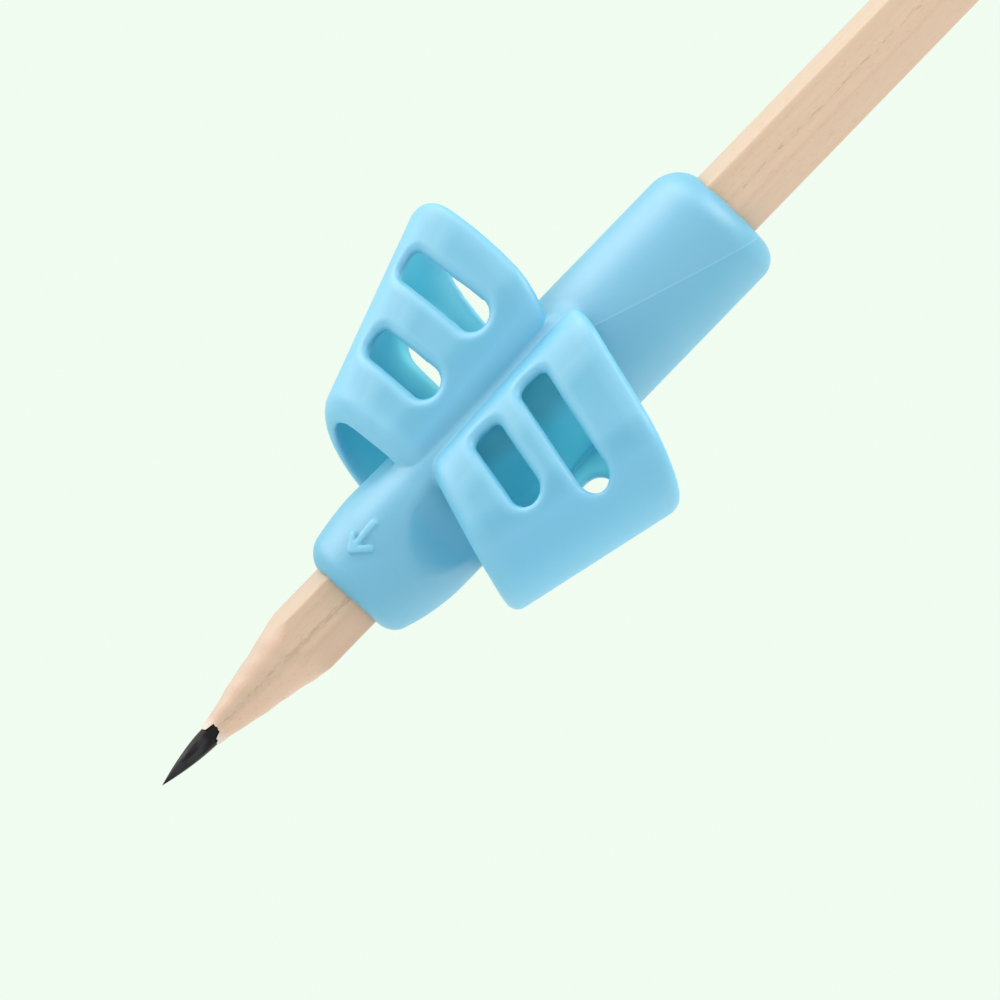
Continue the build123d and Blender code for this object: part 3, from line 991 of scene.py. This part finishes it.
graphite, start = new_finish("fired_graphite")
vector, (x, y, z) = place_of(start)
scratch = grain(start, vector, SCRATCH_SCALE, SCRATCH_STRETCH, 3.0)
smear = grain(start, vector, SMEAR_SCALE, SMEAR_STRETCH, 2.0)
# Painted sheen: greyer smears only on the upper side, and none near the wood.
smear_sheen = smear.ramp(0.4, 0.65) * z.over(UPPER_SPAN) * (1 - x.over(ROOT_SPAN))
close_finish(
    start,
    base_color=smear_sheen.blend(GRAPHITE_DARK, GRAPHITE_SMEAR_SHEEN),
    roughness=0.32 + 0.2 * scratch,
    specular_ior_level=0.2,
    normal=bump(start, scratch, 0.02 * MM),
)
lead_core.data.materials.append(graphite)

# %% [markdown]
# The stage is a plain pale floor well below the pencil, which glows, so that it is even and lights the
# underside, and a white surround. Three soft lights shape the part: a long one from the index finger's side
# leaves a bright streak on the sleeve, a square one fills the tail, and a weak one stands below the thumb's
# side. A sky picture could light it too, but lights that move one by one are easier to match.

# %% Floor and light
PALE = (0.871, 0.973, 0.871)
FLOOR_DROP = 0.09
FLOOR_HALF = 6.0
FLOOR_TINT, FLOOR_GLOW = 0.01, 0.99
# A light is where it stands, in metres, the point it looks at, its size, its power and its colour.
LIGHTS = {
    "key": ((0.05, 0.53, 0.26), (0, 0, 0), (0.8, 0.5), 2.65, (1.0, 0.865, 0.80)),
    "tail_fill": ((0.55, -0.03, 0.21), (0, 0, 0), (0.4, 0.4), 1.35, (1.0, 0.93, 0.90)),
    "under": ((0.0, -0.10, -0.085), (0, -0.10, 0), (0.3, 0.3), 0.12, (1.0, 0.84, 0.93)),
}
SKY = 1.0

floor_mesh = bpy.data.meshes.new("floor")
floor_z = cad_box[0].z - FLOOR_DROP
corners = [(a * FLOOR_HALF, b * FLOOR_HALF, floor_z) for a, b in ((-1, -1), (1, -1), (1, 1), (-1, 1))]
floor_mesh.from_pydata(corners, [], [(0, 1, 2, 3)])
floor = bpy.data.objects.new("floor", floor_mesh)
bpy.context.scene.collection.objects.link(floor)
floor_finish, start = new_finish("pale_floor")
close_finish(
    start,
    base_color=(*(FLOOR_TINT * np.array(PALE)), 1),
    roughness=1.0,
    specular_ior_level=0.0,
    emission_color=(*PALE, 1),
    emission_strength=FLOOR_GLOW,
)
floor.data.materials.append(floor_finish)

world = bpy.data.worlds.new("white_surround")
world.use_nodes = True
background = world.node_tree.nodes["Background"]
background.inputs["Color"].default_value = (1, 1, 1, 1)
background.inputs["Strength"].default_value = SKY
bpy.context.scene.world = world

for name, (stand, look_at, size, power, tint) in LIGHTS.items():
    light = bpy.data.lights.new(name, "AREA")
    light.shape = "RECTANGLE"
    light.size, light.size_y = size
    light.energy, light.color = power, tint
    lamp = bpy.data.objects.new(name, light)
    bpy.context.scene.collection.objects.link(lamp)
    lamp.location = stand
    lamp.rotation_euler = (Vector(look_at) - lamp.location).to_track_quat("-Z", "Y").to_euler()
    lamp.visible_camera = False
    print(name, "gives", power, "W over", size, "m")

# %% [markdown]
# The photograph looks at the grip from the thumb's side, 59 degrees above the horizon, with the pencil
# rising to the right by 46 degrees. A long lens keeps lines nearly parallel. The camera's three axes are
# worked out and set as one matrix, because turning it by three angles is hard to get right.

# %% Camera
VIEW_HEIGHT = np.radians(59.0)
VIEW_ROLL = np.radians(45.86)
VIEW_CENTRE = (-9.55, -4.36)
VIEW_WIDTH = 100.0
LENS = 300.0
SENSOR = 36.0
FAR_CLIP = 100

level_up = np.array((0, np.sin(VIEW_HEIGHT), np.cos(VIEW_HEIGHT)))
level_right = np.array((1.0, 0, 0))
to_camera = np.array((0, -np.cos(VIEW_HEIGHT), np.sin(VIEW_HEIGHT)))
right = np.cos(VIEW_ROLL) * level_right - np.sin(VIEW_ROLL) * level_up
up = np.sin(VIEW_ROLL) * level_right + np.cos(VIEW_ROLL) * level_up
aim = VIEW_CENTRE[0] * level_right + VIEW_CENTRE[1] * level_up
camera_place = (aim + to_camera * VIEW_WIDTH * LENS / SENSOR) * MM
camera_data = bpy.data.cameras.new("camera")
camera_data.lens = LENS
camera_data.sensor_width = SENSOR
camera_data.clip_end = FAR_CLIP
camera = bpy.data.objects.new("camera", camera_data)
bpy.context.scene.collection.objects.link(camera)
axes = Matrix(np.stack([right, up, to_camera], 1)).to_4x4()
camera.matrix_world = Matrix.Translation(camera_place) @ axes
bpy.context.scene.camera = camera
bpy.context.scene.view_settings.view_transform = "Standard"
print("camera stands at", camera_place.round(3), "m")

# %% [markdown]
